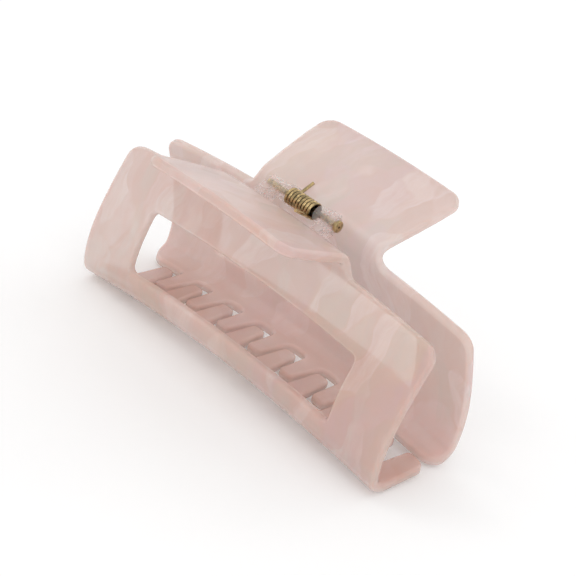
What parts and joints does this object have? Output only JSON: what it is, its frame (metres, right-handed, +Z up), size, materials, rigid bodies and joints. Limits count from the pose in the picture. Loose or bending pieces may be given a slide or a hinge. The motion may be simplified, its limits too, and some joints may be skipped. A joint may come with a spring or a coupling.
{
  "type": "hair claw clip",
  "caption": "Claw clip for hair: two arched plates with long windows, meshing teeth and thumb plates, hinged on a pin and closed by a torsion spring.",
  "frame": {"origin": "centre of the box round the closed clip, on the surface that its ends stand on", "axes": "+X along the hinge pin towards its head, +Y from the near plate to the far plate, +Z up to the thumb plates"},
  "size_m": [0.1, 0.0608, 0.0522],
  "materials": {
    "near_acetate": "polished, pearly marbled pink",
    "far_acetate": "polished, pearly marbled pink",
    "clear_acetate": "clear, polished",
    "pin_brass": "aged",
    "spring_brass": "aged"
  },
  "bodies": {
    "near_half": {"near_jaw": "near_acetate", "near_knuckle_left": "clear_acetate", "near_knuckle_right": "clear_acetate", "hinge_pin": "pin_brass", "torsion_spring": "spring_brass"},
    "far_half": {"far_jaw": "far_acetate", "far_knuckle_left": "clear_acetate", "far_knuckle_right": "clear_acetate"}
  },
  "joints": [
    {"name": "jaw_hinge", "type": "hinge", "parent": "near_half", "child": "far_half", "pos_m": [0, 0, 0.0444], "axis": [1, 0, 0], "range_deg": [0, 65], "stiffness_Nm_per_rad": 0.1, "springref_deg": -57.3, "deforming": ["torsion_spring"]}
  ]
}
